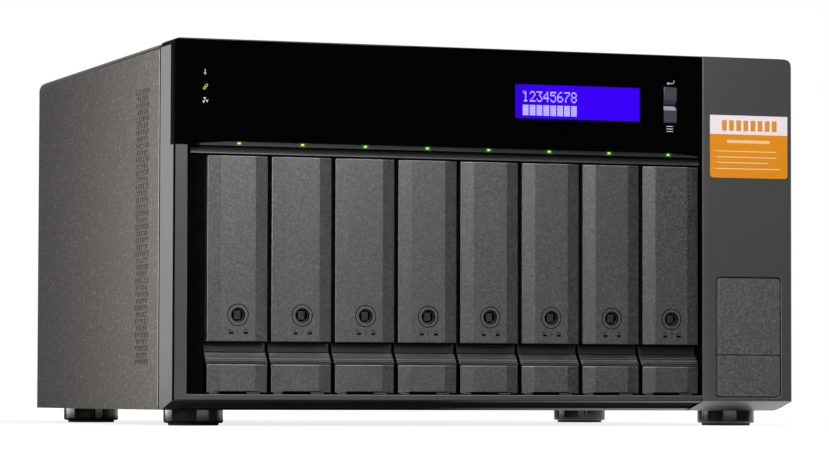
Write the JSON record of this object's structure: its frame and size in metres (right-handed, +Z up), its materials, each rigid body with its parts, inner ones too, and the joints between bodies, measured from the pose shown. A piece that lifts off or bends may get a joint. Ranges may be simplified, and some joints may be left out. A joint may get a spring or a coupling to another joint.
{
  "type": "disk shelf enclosure",
  "caption": "Desktop disk shelf with a row of upright lockable drive trays, a status display, rear fans, link ports and its own power supply.",
  "frame": {"origin": "on the floor under the middle of the whole box, feet and rear screw heads included", "axes": "+X to the right seen from the front, +Y from the tray fronts to the rear, +Z up"},
  "size_m": [0.3292, 0.2796, 0.1882],
  "materials": {
    "cover_paint": "fine-grain powder coat",
    "zinc_sheet": "zinc-plated sheet",
    "foot_gloss": "polished moulding",
    "foot_rubber": "matt",
    "screw_steel": "nickel-plated, knurled",
    "frame_plastic": "satin paint on moulding",
    "column_plastic": "fine spark-eroded grain",
    "panel_gloss": "high-gloss black",
    "screen": "backlit",
    "circuit_board": "solder resist",
    "smoked_strip": "smoked translucent",
    "lamp_green": "lit",
    "socket_plastic": "glass-filled moulding",
    "port_shell": "tin-plated",
    "fan_plastic": "matt moulding",
    "button_plastic": "satin",
    "tray_plastic": "coarse-grain moulding",
    "lock_metal": "blackened",
    "drive_cast": "cast"
  },
  "bodies": {
    "chassis": {"outer_cover": "cover_paint", "base_pan": "zinc_sheet", "rear_panel": "zinc_sheet", "feet": "foot_gloss", "foot_pads": "foot_rubber", "fasteners": "screw_steel", "front_frame": "frame_plastic", "column_panel": "column_plastic", "column_covers": "column_plastic", "display_panel": "panel_gloss", "lcd_module": "screen", "display_board": "circuit_board", "bay_trim_bar": "frame_plastic", "lamp_strip": "smoked_strip", "lamp_guides": "lamp_green", "drive_cage": "zinc_sheet", "backplane_board": "circuit_board", "drive_sockets": "socket_plastic", "interface_board": "circuit_board", "link_ports": "port_shell", "power_supply_case": "zinc_sheet", "power_inlet": "socket_plastic", "fan_frames": "fan_plastic"},
    "tray_1": {"tray_1": "tray_plastic", "drive_1": "drive_cast"},
    "latch_1": {"latch_1": "tray_plastic"},
    "lock_1": {"lock_1": "lock_metal"},
    "tray_2": {"tray_2": "tray_plastic", "drive_2": "drive_cast"},
    "latch_2": {"latch_2": "tray_plastic"},
    "lock_2": {"lock_2": "lock_metal"},
    "tray_3": {"tray_3": "tray_plastic", "drive_3": "drive_cast"},
    "latch_3": {"latch_3": "tray_plastic"},
    "lock_3": {"lock_3": "lock_metal"},
    "tray_4": {"tray_4": "tray_plastic", "drive_4": "drive_cast"},
    "latch_4": {"latch_4": "tray_plastic"},
    "lock_4": {"lock_4": "lock_metal"},
    "tray_5": {"tray_5": "tray_plastic", "drive_5": "drive_cast"},
    "latch_5": {"latch_5": "tray_plastic"},
    "lock_5": {"lock_5": "lock_metal"},
    "tray_6": {"tray_6": "tray_plastic", "drive_6": "drive_cast"},
    "latch_6": {"latch_6": "tray_plastic"},
    "lock_6": {"lock_6": "lock_metal"},
    "tray_7": {"tray_7": "tray_plastic", "drive_7": "drive_cast"},
    "latch_7": {"latch_7": "tray_plastic"},
    "lock_7": {"lock_7": "lock_metal"},
    "tray_8": {"tray_8": "tray_plastic", "drive_8": "drive_cast"},
    "latch_8": {"latch_8": "tray_plastic"},
    "lock_8": {"lock_8": "lock_metal"},
    "enter_button": {"enter_button": "button_plastic"},
    "select_button": {"select_button": "button_plastic"},
    "fan_rotor_left": {"fan_rotor_left": "fan_plastic"},
    "fan_rotor_right": {"fan_rotor_right": "fan_plastic"},
    "psu_fan_rotor": {"psu_fan_rotor": "fan_plastic"}
  },
  "joints": [
    {"name": "tray_slide_1", "type": "slide", "parent": "chassis", "child": "tray_1", "axis": [0, -1, 0], "range_m": [0, 0.18]},
    {"name": "latch_hinge_1", "type": "hinge", "parent": "tray_1", "child": "latch_1", "pos_m": [-0.1313, -0.1336, 0.0192], "axis": [1, 0, 0], "range_deg": [0, 40]},
    {"name": "lock_turn_1", "type": "hinge", "parent": "tray_1", "child": "lock_1", "pos_m": [-0.1313, -0.1318, 0.054], "axis": [0, 1, 0], "range_deg": [0, 90]},
    {"name": "tray_slide_2", "type": "slide", "parent": "chassis", "child": "tray_2", "axis": [0, -1, 0], "range_m": [0, 0.18]},
    {"name": "latch_hinge_2", "type": "hinge", "parent": "tray_2", "child": "latch_2", "pos_m": [-0.09855, -0.1336, 0.0192], "axis": [1, 0, 0], "range_deg": [0, 40]},
    {"name": "lock_turn_2", "type": "hinge", "parent": "tray_2", "child": "lock_2", "pos_m": [-0.09855, -0.1318, 0.054], "axis": [0, 1, 0], "range_deg": [0, 90]},
    {"name": "tray_slide_3", "type": "slide", "parent": "chassis", "child": "tray_3", "axis": [0, -1, 0], "range_m": [0, 0.18]},
    {"name": "latch_hinge_3", "type": "hinge", "parent": "tray_3", "child": "latch_3", "pos_m": [-0.0658, -0.1336, 0.0192], "axis": [1, 0, 0], "range_deg": [0, 40]},
    {"name": "lock_turn_3", "type": "hinge", "parent": "tray_3", "child": "lock_3", "pos_m": [-0.0658, -0.1318, 0.054], "axis": [0, 1, 0], "range_deg": [0, 90]},
    {"name": "tray_slide_4", "type": "slide", "parent": "chassis", "child": "tray_4", "axis": [0, -1, 0], "range_m": [0, 0.18]},
    {"name": "latch_hinge_4", "type": "hinge", "parent": "tray_4", "child": "latch_4", "pos_m": [-0.03305, -0.1336, 0.0192], "axis": [1, 0, 0], "range_deg": [0, 40]},
    {"name": "lock_turn_4", "type": "hinge", "parent": "tray_4", "child": "lock_4", "pos_m": [-0.03305, -0.1318, 0.054], "axis": [0, 1, 0], "range_deg": [0, 90]},
    {"name": "tray_slide_5", "type": "slide", "parent": "chassis", "child": "tray_5", "axis": [0, -1, 0], "range_m": [0, 0.18]},
    {"name": "latch_hinge_5", "type": "hinge", "parent": "tray_5", "child": "latch_5", "pos_m": [-0.0003, -0.1336, 0.0192], "axis": [1, 0, 0], "range_deg": [0, 40]},
    {"name": "lock_turn_5", "type": "hinge", "parent": "tray_5", "child": "lock_5", "pos_m": [-0.0003, -0.1318, 0.054], "axis": [0, 1, 0], "range_deg": [0, 90]},
    {"name": "tray_slide_6", "type": "slide", "parent": "chassis", "child": "tray_6", "axis": [0, -1, 0], "range_m": [0, 0.18]},
    {"name": "latch_hinge_6", "type": "hinge", "parent": "tray_6", "child": "latch_6", "pos_m": [0.03245, -0.1336, 0.0192], "axis": [1, 0, 0], "range_deg": [0, 40]},
    {"name": "lock_turn_6", "type": "hinge", "parent": "tray_6", "child": "lock_6", "pos_m": [0.03245, -0.1318, 0.054], "axis": [0, 1, 0], "range_deg": [0, 90]},
    {"name": "tray_slide_7", "type": "slide", "parent": "chassis", "child": "tray_7", "axis": [0, -1, 0], "range_m": [0, 0.18]},
    {"name": "latch_hinge_7", "type": "hinge", "parent": "tray_7", "child": "latch_7", "pos_m": [0.0652, -0.1336, 0.0192], "axis": [1, 0, 0], "range_deg": [0, 40]},
    {"name": "lock_turn_7", "type": "hinge", "parent": "tray_7", "child": "lock_7", "pos_m": [0.0652, -0.1318, 0.054], "axis": [0, 1, 0], "range_deg": [0, 90]},
    {"name": "tray_slide_8", "type": "slide", "parent": "chassis", "child": "tray_8", "axis": [0, -1, 0], "range_m": [0, 0.18]},
    {"name": "latch_hinge_8", "type": "hinge", "parent": "tray_8", "child": "latch_8", "pos_m": [0.09795, -0.1336, 0.0192], "axis": [1, 0, 0], "range_deg": [0, 40]},
    {"name": "lock_turn_8", "type": "hinge", "parent": "tray_8", "child": "lock_8", "pos_m": [0.09795, -0.1318, 0.054], "axis": [0, 1, 0], "range_deg": [0, 90]},
    {"name": "enter_press", "type": "slide", "parent": "chassis", "child": "enter_button", "axis": [0, 1, 0], "range_m": [0, 0.001], "stiffness_N_per_m": 400, "springref_m": -0.001},
    {"name": "select_press", "type": "slide", "parent": "chassis", "child": "select_button", "axis": [0, 1, 0], "range_m": [0, 0.001], "stiffness_N_per_m": 400, "springref_m": -0.001},
    {"name": "fan_spin_left", "type": "hinge", "parent": "chassis", "child": "fan_rotor_left", "pos_m": [-0.096, 0.1102, 0.072], "axis": [0, 1, 0], "continuous": true},
    {"name": "fan_spin_right", "type": "hinge", "parent": "chassis", "child": "fan_rotor_right", "pos_m": [0.026, 0.1102, 0.072], "axis": [0, 1, 0], "continuous": true},
    {"name": "psu_fan_spin", "type": "hinge", "parent": "chassis", "child": "psu_fan_rotor", "pos_m": [0.13805, 0.1227, 0.066], "axis": [0, 1, 0], "continuous": true}
  ]
}
